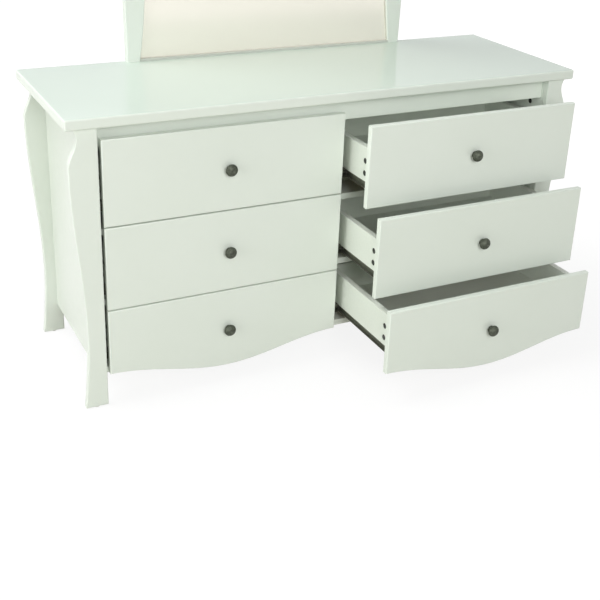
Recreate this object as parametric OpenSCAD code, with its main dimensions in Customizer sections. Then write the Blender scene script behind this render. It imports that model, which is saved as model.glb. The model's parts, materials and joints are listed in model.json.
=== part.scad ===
// Dressing table: a double chest of six drawers on four curved legs, with a framed mirror
// standing on its rear edge. Millimetres, +Z up, drawers opening towards -Y. The origin lies
// on the floor, under the middle of the whole piece as it stands with its right drawers open.

/* [Table top] */
// Width of the table top
top_w = 1400; // [1300:10:1600]
// Depth of the table top
top_d = 470; // [450:5:560]
// Thickness of the table top
top_t = 26; // [18:1:36]
// Rounding of the table top's edges
top_edge_r = 5; // [2:0.5:8]
// How far the table top stands out in front of the legs
front_overhang = 10; // [0:1:20]
// How far the table top stands out behind the rear legs
rear_overhang = 22; // [5:1:30]

/* [Legs] */
// Thickness of a leg board
leg_t = 18; // [16:1:25]
// Distance from the table top's end to the straight inner edge of a leg
leg_inset = 75; // [72:1:100]
// Width of a leg board at the floor
foot_w = 56; // [45:1:65]
// Width of a leg board at its waist
waist_w = 43; // [36:1:50]
// Width of a leg board at its belly
belly_w = 69; // [60:1:71]
// Width of a leg board at the notch under the table top
neck_w = 48; // [42:1:60]
// Width of a leg board where it meets the table top
head_w = 55; // [50:1:65]
// Height of the waist above the floor
waist_z = 190; // [120:5:260]
// Distance of the belly below the table top's underside
belly_drop = 91; // [60:1:140]
// Distance of the notch below the table top's underside
neck_drop = 22; // [10:1:40]

/* [Carcass] */
// Thickness of the side, bottom and dividing boards
panel_t = 16; // [15:1:19]
// Height of the bottom board above the floor
floor_gap = 82; // [60:1:120]
// Height of the rails under the table top
rail_h = 54; // [40:1:60]
// How far the front rail and the dividers stand back behind the legs
rail_setback = 8; // [0:1:20]
// Depth of a divider between two drawers
divider_d = 80; // [50:5:150]
// Height of the lower divider above the gap between the lower and middle fronts
lower_divider_rise = 3.5; // [2:0.5:10]
// Depth of the upper divider's upper face below the gap between the middle and upper fronts
upper_divider_drop = 11.5; // [8:0.5:20]
// Thickness of the back sheets
back_t = 4; // [3:0.5:8]

/* [Drawer fronts] */
// Thickness of a drawer front
front_t = 16; // [16:1:22]
// Gap between a closed front and the carcass behind it
front_clear = 4; // [0.5:0.5:5]
// Height of an upper or middle front
front_h = 210; // [190:1:240]
// Height of a lower front at its two ends
lower_front_h = 170; // [160:1:210]
// How far the lower edge of a lower front dips in the middle
front_dip = 42; // [10:1:60]
// Gap between one front and the next one above it
row_gap = 3; // [2:0.5:5]
// Gap between the left and the right fronts
centre_gap = 4; // [2:0.5:6]
// Gap between a front and the leg beside it
leg_gap = 7; // [2:0.5:9]
// Height of the lower fronts' ends above the underside of the bottom board
bottom_reveal = 4; // [2:1:12]
// Gap between the upper fronts and the table top's underside
top_reveal = 29; // [20:1:38]

/* [Drawer boxes] */
// Length of a drawer box behind its front
box_l = 350; // [300:5:360]
// Height of a drawer box's sides
box_h = 87; // [70:1:110]
// Thickness of a drawer box's sides and back
box_t = 16; // [12:1:18]
// Height of a drawer box above the lower end of its front
box_rise = 54; // [45:1:56]
// Thickness of a drawer's bottom sheet
sheet_t = 4; // [3:0.5:5]
// Height of the bottom sheet above the sides' lower edge
sheet_rise = 7; // [4:1:8]
// Depth of the groove that holds the bottom sheet
groove_d = 5; // [3:0.5:6]
// How far the right upper drawer stands open
upper_open = 120; // [0:1:264]
// How far the right middle drawer stands open
middle_open = 189; // [0:1:264]
// How far the right lower drawer stands open
lower_open = 264; // [0:1:264]

/* [Runners] */
// Width between a drawer box's side and the cabinet wall beside it
runner_gap = 13; // [12:0.5:16]
// Thickness of the runners' steel
steel_t = 1.2; // [1:0.1:1.5]
// Height of a drawer's steel channel
channel_h = 18; // [16:0.5:22]
// Width of a drawer's steel channel
channel_w = 8.2; // [7:0.1:10]
// Length of a nylon glide block
glide_block_l = 20; // [12:1:30]
// Running gap between the sliding faces
slide_gap = 0.3; // [0.2:0.05:0.5]
// Gap between a cabinet track and the drawer box's side
track_clear = 1; // [0.5:0.1:2]

/* [Knobs] */
// Diameter of a knob
knob_d = 30; // [24:1:36]
// How far a knob stands out from its front
knob_reach = 24; // [20:1:30]
// Diameter of a knob's neck
neck_d = 13; // [9:0.5:14]
// Diameter of a knob's foot
knob_foot_d = 17; // [14:0.5:20]
// Thickness of a knob's foot
knob_foot_h = 2.5; // [2:0.5:4]
// Height of a knob's cap, from its rim to its crown
knob_cap_h = 13; // [6:0.5:14]
// Width of the plain rim round a knob's cap
knob_rim_h = 3.5; // [1.5:0.5:5]
// Diameter of a knob's screw
knob_screw_d = 4; // [3:0.5:5]
// How far a knob's screw reaches into the knob
knob_screw_reach = 12; // [8:1:15]
// How far a knob's screw reaches into the drawer front
knob_screw_hold = 9; // [6:0.5:9.5]

/* [Fittings] */
// Diameter of a cam lock
cam_d = 15; // [12:0.5:15]
// Depth of a cam lock's hole in a drawer side
cam_hole_d = 9.5; // [6:0.5:10.5]
// Depth of a cam lock's hole in a side board of the carcass
panel_cam_d = 12.5; // [10:0.5:13]
// Distance of the cam locks in a drawer side behind the front
cam_setback = 37; // [24:1:44]
// Height of the lower cam lock above a drawer side's lower edge
cam_rise = 20; // [20:1:26]
// Spacing of the two cam locks in a drawer side
cam_pitch = 32; // [24:1:40]
// Distance of the cam locks in a side board from the leg beside them
panel_cam_setback = 50; // [24:1:60]
// Height of a side board's cam locks above each drawer box's lower edge
panel_cam_rise = 111; // [100:1:112]
// Diameter of a foot's glide
foot_glide_d = 14; // [10:0.5:16]
// Height of a foot's glide
foot_glide_h = 3; // [2:0.5:5]

/* [Mirror] */
// Width of the mirror frame where it stands on the table top
mirror_w = 829; // [700:1:1000]
// Thickness of the mirror frame
frame_t = 20; // [18:1:26]
// Height of the mirror's posts up to the crest
post_h = 700; // [500:10:900]
// Width of a post at its foot
post_foot_w = 35.5; // [32:0.5:45]
// Width of a post above its flare
post_w = 54.5; // [46:0.5:70]
// How far a post's outer edge leans out
post_lean = 2.5; // [0:0.5:10]
// Height over which a post flares
flare_h = 190; // [120:5:300]
// Height of the crest at its two ends
crest_end_h = 60; // [40:1:90]
// How far the crest's upper edge rises in the middle
crest_rise = 90; // [40:1:120]
// How far the glass rises into the crest in the middle
arch_rise = 60; // [20:1:90]
// Height of the sill under the glass
sill_h = 6; // [4:0.5:12]
// How far the frame laps over the glass
lap = 8; // [5:0.5:12]
// How far the sill laps over the glass
sill_lap = 3; // [1:0.5:3]
// Thickness of the mirror glass
glass_t = 5; // [3:0.5:6]
// Thickness of the board behind the glass
backing_t = 5; // [3:0.5:6]
// Width of a steel plate that joins a post to the table top
plate_w = 24; // [18:1:28]
// Thickness of that plate
plate_t = 2.5; // [2:0.5:4]
// How far the plate reaches up the post
plate_reach = 62; // [55:1:100]
// Height of the plate's middle screw above the table top, and of its upper screw above that one
plate_screw_step = 24; // [20:1:24]
// Diameter of the plate's screws
screw_d = 4; // [3:0.5:5]
// Diameter of the screws' heads
screw_head_d = 8; // [7:0.5:10]
// Thickness of the screws' heads
screw_head_t = 2.5; // [1.5:0.5:3]
// Length of the screws' shanks in the wood
screw_l = 16; // [12:1:17]

/* [Hidden] */
LEFT = -1;
RIGHT = 1;
LOWER = 0;
MIDDLE = 1;
UPPER = 2;
SIDE_NAMES = ["left", "right"];
ROW_NAMES = ["lower", "middle", "upper"];
PIECES = ["front", "sides", "back", "bottom", "knob", "runners"];
$fn = 48;

// Clearance of a sheet, a glass or a cam lock in the recess that holds it
fit = 0.2;
// Depth of a cam lock's face below the board around it
cam_sink = 0.5;
// Least step that a cutting solid runs past what it cuts
past = 1;
curve_steps = 10;
bell_steps = 32;

half_top = top_w / 2;
inner_x = half_top - leg_inset;

// Depths, counted from the table top's front edge: the nearest point is the open drawers' knobs,
// and the farthest the heads of the screws behind the mirror.
front_setback = front_overhang + leg_t - front_clear - front_t;
most_open = max(upper_open, middle_open, lower_open);
reach_front = most_open + knob_reach - front_setback;
reach_back = top_d + plate_t + screw_head_t;
edge_y = (reach_front - reach_back) / 2;
leg_y = edge_y + front_overhang;
carcass_y = leg_y + leg_t;
rail_y = carcass_y + rail_setback;
box_y = carcass_y - front_clear;
front_y = box_y - front_t;
rear_leg_y = edge_y + top_d - rear_overhang - leg_t;
back_y = rear_leg_y - back_t;

// Heights, stacked up from the floor.
deck_z = floor_gap + panel_t;
row_z = [floor_gap + bottom_reveal,
         floor_gap + bottom_reveal + lower_front_h + row_gap,
         floor_gap + bottom_reveal + lower_front_h + row_gap + front_h + row_gap];
row_h = [lower_front_h, front_h, front_h];
under_z = row_z[UPPER] + front_h + top_reveal;
table_z = under_z + top_t;
lower_divider_z = row_z[LOWER] + lower_front_h + row_gap / 2 + lower_divider_rise;
upper_divider_z = row_z[UPPER] - row_gap / 2 - upper_divider_drop - panel_t;
belly_z = under_z - belly_drop;
neck_z = under_z - neck_drop;

// One drawer's place across the right-hand bay; the left-hand bay mirrors it.
front_x0 = centre_gap / 2;
front_x1 = inner_x - leg_gap;
wall_x0 = panel_t / 2;
wall_x1 = inner_x;
box_x0 = wall_x0 + runner_gap;
box_x1 = wall_x1 - runner_gap;
front_mid_x = (front_x0 + front_x1) / 2;
front_half_w = (front_x1 - front_x0) / 2;
right_open = [lower_open, middle_open, upper_open];

// Mirror frame, in its own upright plane.
frame_back = edge_y + top_d;
mirror_y = frame_back - frame_t;
glass_y = frame_back - backing_t - glass_t;
post_out_x = mirror_w / 2 + post_lean;
post_foot_x = mirror_w / 2 - post_foot_w;
post_top_x = post_out_x - post_w;
plate_x = mirror_w / 2 - post_foot_w / 2;
plate_z0 = under_z + top_edge_r;
plate_screw_z = [table_z - top_t / 2, table_z + plate_screw_step, table_z + 2 * plate_screw_step];

// A curve from a to b that is level at both ends, as t goes from 0 to 1.
function ease(a, b, t) = a + (b - a) * (1 - cos(180 * t)) / 2;
// A curve from a to b that is level at b only.
function settle(a, b, t) = a + (b - a) * sin(90 * t);
// A bell over the span from -half to half: 1 in the middle, 0 and level at the ends.
function bell(x, half) = (1 + cos(180 * x / half)) / 2;
// Even steps from half to -half.
function across(half) = [for (i = [0:bell_steps]) half * (1 - 2 * i / bell_steps)];
function box_z(row) = row_z[row] + box_rise;
function dip(row) = row == LOWER ? front_dip : 0;
function knob_z(row) = row_z[row] + (row_h[row] - dip(row)) / 2;

// Width of a leg board at a height.
function leg_width(z) =
    z < waist_z ? settle(foot_w, waist_w, z / waist_z)
    : z < belly_z ? ease(waist_w, belly_w, (z - waist_z) / (belly_z - waist_z))
    : z < neck_z ? ease(belly_w, neck_w, (z - belly_z) / (neck_z - belly_z))
    : neck_w + (head_w - neck_w) * (1 - cos(90 * (z - neck_z) / neck_drop));

function stretch(z0, z1) = [for (i = [0:curve_steps - 1]) z0 + (z1 - z0) * i / curve_steps];
leg_levels = concat(stretch(foot_glide_h, waist_z), stretch(waist_z, belly_z),
                    stretch(belly_z, neck_z), stretch(neck_z, under_z), [under_z]);

// Half width of the mirror's opening at a height above the table top.
function opening_x(h) = settle(post_foot_x, post_top_x, min(h / flare_h, 1));
function post_outer_x(h) = mirror_w / 2 + ease(0, post_lean, min(h / flare_h, 1));
post_levels = concat(stretch(0, flare_h), [flare_h, post_h]);

// Outline of the mirror's opening, grown by a lap at the sides and the top.
function opening_outline(grow, foot) =
    let (levels = [for (h = post_levels) max(h, foot)],
         half = post_top_x + grow)
    concat([for (h = levels) [opening_x(h) + grow, h]],
           [for (x = across(half)) [x, post_h + grow + arch_rise * bell(x, half)]],
           [for (i = [len(levels) - 1:-1:0]) [-opening_x(levels[i]) - grow, levels[i]]]);

// An outline in X and Z, made into a board whose front face lies at y.
module upright(y, t) {
    translate([0, y + t, 0]) rotate([90, 0, 0]) linear_extrude(height = t) children();
}

// A rectangle with rounded corners, centred.
module rounded_rect(w, h, r) {
    square([w - 2 * r, h], center = true);
    square([w, h - 2 * r], center = true);
    for (x = [-1, 1], y = [-1, 1]) translate([x * (w / 2 - r), y * (h / 2 - r)]) circle(r);
}

// A round rod or hole along Y, from y to y + l.
module rod_y(x, y, z, d, l) {
    translate([x, y, z]) rotate([-90, 0, 0]) cylinder(d = d, h = l);
}

// A round rod or hole along X, from x to x + l.
module rod_x(x, y, z, d, l) {
    translate([x, y, z]) rotate([0, 90, 0]) cylinder(d = d, h = l);
}

// A box between two corners.
module block(a, b) {
    translate(a) cube(b - a);
}

// A child drawn for the right-hand side, set on either side.
module on_side(side) {
    if (side == LEFT) mirror([1, 0, 0]) children();
    else children();
}

module table_top() {
    color("#dfe7dd") difference() {
        translate([0, edge_y + top_d / 2, under_z + top_t / 2]) intersection() {
            linear_extrude(height = top_t, center = true) rounded_rect(top_w, top_d, top_edge_r);
            rotate([90, 0, 0]) linear_extrude(height = top_d, center = true)
                rounded_rect(top_w, top_t, top_edge_r);
            rotate([90, 0, 90]) linear_extrude(height = top_w, center = true)
                rounded_rect(top_d, top_t, top_edge_r);
        }
        for (side = [LEFT, RIGHT])
            rod_y(side * plate_x, frame_back - screw_l, plate_screw_z[0], screw_d + 2 * fit, screw_l + past);
    }
}

module side_panel(side) {
    color("#dbe2d6") on_side(side) difference() {
        block([inner_x, carcass_y, floor_gap], [inner_x + panel_t, rear_leg_y, under_z]);
        each_panel_cam() rod_x(inner_x - past, 0, 0, cam_d, panel_cam_d + past);
    }
}

// The places of the cam locks in the right-hand side board.
module each_panel_cam() {
    for (row = [LOWER, MIDDLE, UPPER], y = [carcass_y + panel_cam_setback, rear_leg_y - panel_cam_setback])
        translate([0, y, box_z(row) + panel_cam_rise]) children();
}

module cam_locks() {
    color("#77796f") for (side = [LEFT, RIGHT]) on_side(side)
        each_panel_cam() rod_x(inner_x + cam_sink, 0, 0, cam_d - 2 * fit, panel_cam_d - cam_sink);
}

module leg(side, y) {
    color("#dde4d7") on_side(side) upright(y, leg_t) polygon(concat(
        [for (z = leg_levels) [inner_x + leg_width(z), z]],
        [[inner_x, under_z], [inner_x, foot_glide_h]]));
}

module foot_glides() {
    color("#e9e9e4") for (side = [LEFT, RIGHT], y = [leg_y, rear_leg_y])
        translate([side * (inner_x + foot_w / 2), y + leg_t / 2, 0])
            cylinder(d = foot_glide_d, h = foot_glide_h);
}

module centre_partition() {
    color("#dbe2d6") translate([-panel_t / 2, 0, 0]) rotate([90, 0, 90]) linear_extrude(height = panel_t)
        polygon([[carcass_y, deck_z], [back_y, deck_z], [back_y, under_z - rail_h],
                 [back_y - panel_t, under_z - rail_h], [back_y - panel_t, under_z],
                 [rail_y + panel_t, under_z], [rail_y + panel_t, under_z - rail_h],
                 [carcass_y, under_z - rail_h]]);
}

module bottom_panel() {
    color("#dbe2d6") block([-inner_x, carcass_y, floor_gap], [inner_x, back_y, deck_z]);
}

module front_rail() {
    color("#dde4d7") block([-inner_x, rail_y, under_z - rail_h], [inner_x, rail_y + panel_t, under_z]);
}

module rear_rail() {
    color("#dbe2d6") block([-inner_x, back_y - panel_t, under_z - rail_h], [inner_x, back_y, under_z]);
}

module drawer_dividers() {
    color("#dde4d7") for (side = [LEFT, RIGHT], z = [lower_divider_z, upper_divider_z]) on_side(side)
        block([wall_x0, rail_y, z], [wall_x1, rail_y + divider_d, z + panel_t]);
}

module back_sheets() {
    color("#c9cfc2") for (side = [LEFT, RIGHT]) on_side(side)
        block([fit / 2, back_y, floor_gap], [inner_x - fit, rear_leg_y, under_z]);
}

// A child drawn for a wall at x = 0 that looks along +X, set on a wall at x that looks along dir.
module on_wall(x, dir) {
    translate([x, 0, 0]) if (dir < 0) mirror([1, 0, 0]) children();
    else children();
}

// The two walls beside a drawer in the right-hand bay.
module each_wall() {
    on_wall(wall_x0, 1) children();
    on_wall(wall_x1, -1) children();
}

// Section of a cabinet track: a wall plate, a ledge under the drawer's channel and a short upper
// lip that keeps an open drawer's rear end down. Zero is the lower edge of the drawer's side.
module track_section() {
    low = -channel_h - slide_gap - steel_t;
    high = slide_gap + steel_t;
    ledge = runner_gap + channel_w - steel_t;
    lip = runner_gap - track_clear;
    polygon([[0, low], [ledge, low], [ledge, low + steel_t], [steel_t, low + steel_t],
             [steel_t, high - steel_t], [lip, high - steel_t], [lip, high], [0, high]]);
}

// Section of a drawer's channel, which opens towards the wall.
module channel_section() {
    near = runner_gap;
    far = runner_gap + channel_w;
    polygon([[near, -channel_h], [far, -channel_h], [far, 0], [near, 0], [near, -steel_t],
             [far - steel_t, -steel_t], [far - steel_t, steel_t - channel_h], [near, steel_t - channel_h]]);
}

// Section of the nylon block on a track, which bears inside the drawer's channel.
module front_block_section() {
    block_low = -channel_h + steel_t + slide_gap;
    block_high = -steel_t - slide_gap;
    translate([steel_t, block_low])
        square([runner_gap + channel_w - 2 * steel_t - slide_gap, block_high - block_low]);
}

// Section of the nylon block in a channel's rear end, which runs under the track's upper lip.
module rear_block_section() {
    near = steel_t + slide_gap;
    far = runner_gap + channel_w - steel_t;
    polygon([[near, steel_t - channel_h], [far, steel_t - channel_h], [far, -steel_t],
             [runner_gap, -steel_t], [runner_gap, 0], [near, 0]]);
}

module cabinet_runners(side) {
    on_side(side) for (row = [LOWER, MIDDLE, UPPER]) translate([0, 0, box_z(row)]) each_wall() {
        color("#4a4a40") upright(carcass_y, box_l) track_section();
        color("#e9e9e4") upright(carcass_y, glide_block_l) front_block_section();
    }
}

// One drawer of the right-hand bay, set on its side and pulled open by its own amount.
module in_bay(side, row) {
    translate([0, side == RIGHT ? -right_open[row] : 0, 0]) on_side(side) children();
}

module front_outline(row) {
    low = row_z[row];
    top = low + row_h[row];
    lower_edge = row == LOWER
        ? [for (x = across(front_half_w)) [front_mid_x + x, low - front_dip * bell(x, front_half_w)]]
        : [[front_x1, low], [front_x0, low]];
    polygon(concat([[front_x0, top], [front_x1, top]], lower_edge));
}

// The space of a drawer's bottom sheet, grown by a clearance at its edges and above it.
module sheet_space(row, grow) {
    low = box_z(row) + sheet_rise;
    block([box_x0 + box_t - groove_d + fit - grow, box_y - groove_d + fit - grow, low],
          [box_x1 - box_t + groove_d - fit + grow, box_y + box_l + grow, low + sheet_t + grow]);
}

module drawer_front(side, row) {
    color("#dde4d7") in_bay(side, row) difference() {
        upright(front_y, front_t) front_outline(row);
        rod_y(front_mid_x, front_y - past, knob_z(row), knob_screw_d + 2 * fit,
              knob_screw_hold + fit + past);
        sheet_space(row, fit);
    }
}

// The places of the cam locks in the two sides of a drawer box.
module each_side_cam() {
    each_wall() for (z = [cam_rise, cam_rise + cam_pitch])
        translate([runner_gap, box_y + cam_setback, z]) children();
}

module drawer_sides(side, row) {
    color("#dbe2d6") in_bay(side, row) difference() {
        for (x = [box_x0, box_x1 - box_t])
            block([x, box_y, box_z(row)], [x + box_t, box_y + box_l, box_z(row) + box_h]);
        sheet_space(row, fit);
        translate([0, 0, box_z(row)]) each_side_cam() rod_x(-past, 0, 0, cam_d, cam_hole_d + past);
    }
}

module drawer_back(side, row) {
    color("#dbe2d6") in_bay(side, row)
        block([box_x0 + box_t, box_y + box_l - box_t, box_z(row) + sheet_rise + sheet_t],
              [box_x1 - box_t, box_y + box_l, box_z(row) + box_h]);
}

module drawer_bottom(side, row) {
    color("#d3d9cc") in_bay(side, row) sheet_space(row, 0);
}

// Half of a knob's section: its foot, a waisted neck and a domed cap, round a blind screw hole.
module knob_section() {
    foot_r = knob_foot_d / 2;
    cap_r = knob_d / 2;
    neck_r = neck_d / 2;
    bore_r = knob_screw_d / 2 + fit;
    bore_z = knob_screw_reach + fit;
    rim_z = knob_reach - knob_cap_h;
    dome_z = rim_z + knob_rim_h;
    neck_z0 = (knob_foot_h + rim_z) / 2;
    steps = [0:curve_steps];
    polygon(concat(
        [[bore_r, 0], [foot_r, 0]],
        [for (i = steps) let (t = i / curve_steps)
            [ease(foot_r, neck_r, t), knob_foot_h + (neck_z0 - knob_foot_h) * t]],
        [for (i = [1:curve_steps]) let (t = i / curve_steps)
            [neck_r + (cap_r - neck_r) * (1 - cos(90 * t)), neck_z0 + (rim_z - neck_z0) * t]],
        [for (i = steps) let (turn = 90 * i / curve_steps)
            [cap_r * cos(turn), dome_z + (knob_reach - dome_z) * sin(turn)]],
        [[0, bore_z], [bore_r, bore_z]]));
}

module drawer_knob(side, row) {
    in_bay(side, row) {
        color("#585f4f") translate([front_mid_x, front_y, knob_z(row)]) rotate([90, 0, 0]) rotate_extrude()
            knob_section();
        color("#9a9a94") rod_y(front_mid_x, front_y - knob_screw_reach, knob_z(row), knob_screw_d,
                               knob_screw_reach + knob_screw_hold);
    }
}

// A drawer's two steel channels with their nylon blocks, and the cam locks of its sides.
module drawer_runners(side, row) {
    in_bay(side, row) translate([0, 0, box_z(row)]) {
        each_wall() {
            color("#4a4a40") upright(box_y, box_l) channel_section();
            color("#e9e9e4") upright(box_y + box_l - glide_block_l, glide_block_l) rear_block_section();
        }
        color("#77796f") each_side_cam() rod_x(cam_sink, 0, 0, cam_d - 2 * fit, cam_hole_d - cam_sink);
    }
}

// The recess behind the mirror frame's edge, which holds the glass and the backing.
module rebate() {
    translate([0, 0, table_z]) upright(glass_y, frame_back - glass_y + past)
        polygon(opening_outline(lap + fit, sill_h - sill_lap));
}

// The holes, or with their heads the screws, through the two steel plates behind the mirror.
module plate_screws(side, heads) {
    for (z = plate_screw_z) {
        rod_y(side * plate_x, frame_back - screw_l, z, heads ? screw_d : screw_d + 2 * fit,
              screw_l + plate_t + (heads ? 0 : past));
        if (heads) rod_y(side * plate_x, frame_back + plate_t, z, screw_head_d, screw_head_t);
    }
}

module mirror_post(side) {
    color("#dde4d9") difference() {
        on_side(side) translate([0, 0, table_z]) upright(mirror_y, frame_t) polygon(concat(
            [for (h = post_levels) [post_outer_x(h), h]],
            [for (i = [len(post_levels) - 1:-1:0]) [opening_x(post_levels[i]), post_levels[i]]]));
        rebate();
        plate_screws(side, false);
    }
}

module mirror_crest() {
    color("#dde4d9") difference() {
        translate([0, 0, table_z + post_h]) upright(mirror_y, frame_t) polygon(concat(
            [[post_out_x, 0]],
            [for (x = across(post_top_x)) [x, arch_rise * bell(x, post_top_x)]],
            [[-post_out_x, 0]],
            [for (x = across(-post_out_x)) [x, crest_end_h + crest_rise * bell(x, post_out_x)]]));
        rebate();
    }
}

module mirror_sill() {
    reach = opening_x(sill_h);
    color("#dde4d9") difference() {
        block([-reach, mirror_y, table_z], [reach, frame_back, table_z + sill_h]);
        rebate();
    }
}

module mirror_glass() {
    color("#eeece0") translate([0, 0, table_z]) upright(glass_y, glass_t)
        polygon(opening_outline(lap, sill_h - sill_lap));
}

module mirror_backing() {
    color("#b9a888") translate([0, 0, table_z]) upright(glass_y + glass_t, backing_t)
        polygon(opening_outline(lap, sill_h - sill_lap));
}

module mirror_plates() {
    for (side = [LEFT, RIGHT]) {
        color("#9a9a94") difference() {
            block([side * plate_x - plate_w / 2, frame_back, plate_z0],
                  [side * plate_x + plate_w / 2, frame_back + plate_t, table_z + plate_reach]);
            plate_screws(side, false);
        }
        color("#8a8a84") plate_screws(side, true);
    }
}

table_top();
side_panel(LEFT);  // left_side_panel
side_panel(RIGHT);  // right_side_panel
leg(LEFT, leg_y);  // front_left_leg
leg(RIGHT, leg_y);  // front_right_leg
leg(LEFT, rear_leg_y);  // rear_left_leg
leg(RIGHT, rear_leg_y);  // rear_right_leg
centre_partition();
bottom_panel();
front_rail();
rear_rail();
drawer_dividers();
back_sheets();
cabinet_runners(LEFT);  // left_cabinet_runners
cabinet_runners(RIGHT);  // right_cabinet_runners
cam_locks();
foot_glides();
mirror_post(LEFT);  // mirror_left_post
mirror_post(RIGHT);  // mirror_right_post
mirror_crest();
mirror_sill();
mirror_glass();
mirror_backing();
mirror_plates();
for (side = [LEFT, RIGHT], row = [LOWER, MIDDLE, UPPER]) {
    drawer = str(SIDE_NAMES[(side + 1) / 2], "_", ROW_NAMES[row], "_");
    drawer_front(side, row);
    drawer_sides(side, row);
    drawer_back(side, row);
    drawer_bottom(side, row);
    drawer_knob(side, row);
    drawer_runners(side, row);
}
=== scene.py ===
# Dressing table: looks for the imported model, in metres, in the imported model's own frame.
import json
import math
import bmesh
import bpy
from mathutils import Matrix, Vector


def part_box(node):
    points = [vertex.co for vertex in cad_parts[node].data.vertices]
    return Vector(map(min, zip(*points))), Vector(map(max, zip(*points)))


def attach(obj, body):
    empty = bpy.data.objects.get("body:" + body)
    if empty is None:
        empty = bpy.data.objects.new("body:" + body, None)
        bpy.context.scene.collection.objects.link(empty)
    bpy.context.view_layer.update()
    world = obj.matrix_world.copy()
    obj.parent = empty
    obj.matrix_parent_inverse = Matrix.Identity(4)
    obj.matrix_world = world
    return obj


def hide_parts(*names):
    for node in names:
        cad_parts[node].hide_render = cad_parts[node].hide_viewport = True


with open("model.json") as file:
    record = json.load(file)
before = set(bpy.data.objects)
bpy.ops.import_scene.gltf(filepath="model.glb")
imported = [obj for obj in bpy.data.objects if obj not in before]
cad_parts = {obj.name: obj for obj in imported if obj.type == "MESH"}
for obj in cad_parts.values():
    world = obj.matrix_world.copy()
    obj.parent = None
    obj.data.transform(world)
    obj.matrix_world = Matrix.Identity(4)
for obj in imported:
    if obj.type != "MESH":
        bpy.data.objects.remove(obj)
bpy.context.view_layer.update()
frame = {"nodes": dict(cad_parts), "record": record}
nodes = frame["nodes"]
bays = ("left", "right")
rows = ("lower", "middle", "upper")
drawers = [f"{bay}_{row}" for bay in bays for row in rows]
mm = 0.001

# Camera, fitted to the edges of the table top, the fronts and the legs in the photograph
camera = {"place": (-1.2101, -2.1983, 1.3937), "turn": 0.4786, "tilt": -0.4040, "roll": 0.0393,
          "focusPixels": 1023.9, "centrePixels": (300.0, 234.0), "framePixels": 600.0,
          "sensorWidth": 36.0, "farthest": 100.0}


def makeCamera():
    turn, tilt, roll = camera["turn"], camera["tilt"], camera["roll"]
    ahead = Vector((math.sin(turn) * math.cos(tilt), math.cos(turn) * math.cos(tilt), math.sin(tilt)))
    level = Vector((math.cos(turn), -math.sin(turn), 0.0))
    above = level.cross(ahead)
    right = math.cos(roll) * level + math.sin(roll) * above
    up = math.cos(roll) * above - math.sin(roll) * level
    turned = Matrix((right, up, -ahead)).transposed().to_4x4()
    lens = bpy.data.cameras.new("photoCamera")
    lens.sensor_width = camera["sensorWidth"]
    lens.lens = camera["focusPixels"] / camera["framePixels"] * lens.sensor_width
    lens.shift_x = 0.5 - camera["centrePixels"][0] / camera["framePixels"]
    lens.shift_y = camera["centrePixels"][1] / camera["framePixels"] - 0.5
    lens.clip_end = camera["farthest"]
    holder = bpy.data.objects.new("photoCamera", lens)
    holder.matrix_world = Matrix.Translation(camera["place"]) @ turned
    bpy.context.scene.collection.objects.link(holder)
    bpy.context.scene.camera = holder


# Light: large soft lamps in front, low on the left and above, weaker ones behind and on the right, and a
# small one behind that glints on the table top, in a dim room
room = {"ambient": (0.97, 1.0, 0.95), "ambientStrength": 0.12, "seen": (1.0, 1.0, 1.0), "seenStrength": 1.0}
lamps = {"frontHigh": {"place": (-1.0, -5.5, 3.4), "aim": (0.0, 0.0, 0.45), "size": 3.0, "power": 128.0},
         "frontMid": {"place": (-0.6, -4.2, 1.9), "aim": (-0.2, 0.0, 0.5), "size": 1.6, "power": 44.0},
         "sideLow": {"place": (-6.0, -0.8, 1.2), "aim": (0.0, 0.0, 0.45), "size": 3.0, "power": 68.0},
         "sideNear": {"place": (-3.2, -1.2, 1.3), "aim": (0.0, 0.0, 0.45), "size": 1.6, "power": 20.0},
         "aboveLeft": {"place": (-2.8, 0.8, 4.0), "aim": (-0.2, 0.0, 0.5), "size": 3.0, "power": 98.0},
         "aboveMid": {"place": (-1.2, 0.8, 4.2), "aim": (-0.1, 0.0, 0.5), "size": 3.0, "power": 36.0},
         "behindLeft": {"place": (-3.8, 4.6, 2.6), "aim": (-0.3, 0.3, 0.7), "size": 3.0, "power": 18.0},
         "rightBack": {"place": (4.6, 1.3, 1.7), "aim": (0.6, 0.1, 0.5), "size": 2.4, "power": 34.0},
         "glint": {"place": (0.95, 5.4, 2.95), "aim": (-0.6, 0.0, 0.74), "size": 0.9, "power": 1.7}}


def makeLamp(name, lampSet):
    lamp = bpy.data.lights.new(name, "AREA")
    lamp.shape = "SQUARE"
    lamp.size = lampSet["size"]
    lamp.energy = lampSet["power"]
    holder = bpy.data.objects.new(name, lamp)
    place = Vector(lampSet["place"])
    holder.location = place
    holder.rotation_euler = (Vector(lampSet["aim"]) - place).to_track_quat("-Z", "Y").to_euler()
    holder.visible_camera = False
    bpy.context.scene.collection.objects.link(holder)


def seenRays(tree):
    # 1 where the camera, a mirror or glass looks, 0 where light is gathered
    rays = tree.nodes.new("ShaderNodeLightPath")
    glossy = tree.nodes.new("ShaderNodeMath")
    glossy.operation = "MAXIMUM"
    clear = tree.nodes.new("ShaderNodeMath")
    clear.operation = "MAXIMUM"
    tree.links.new(rays.outputs["Is Camera Ray"], glossy.inputs[0])
    tree.links.new(rays.outputs["Is Glossy Ray"], glossy.inputs[1])
    tree.links.new(glossy.outputs[0], clear.inputs[0])
    tree.links.new(rays.outputs["Is Transmission Ray"], clear.inputs[1])
    return clear.outputs[0]


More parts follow.
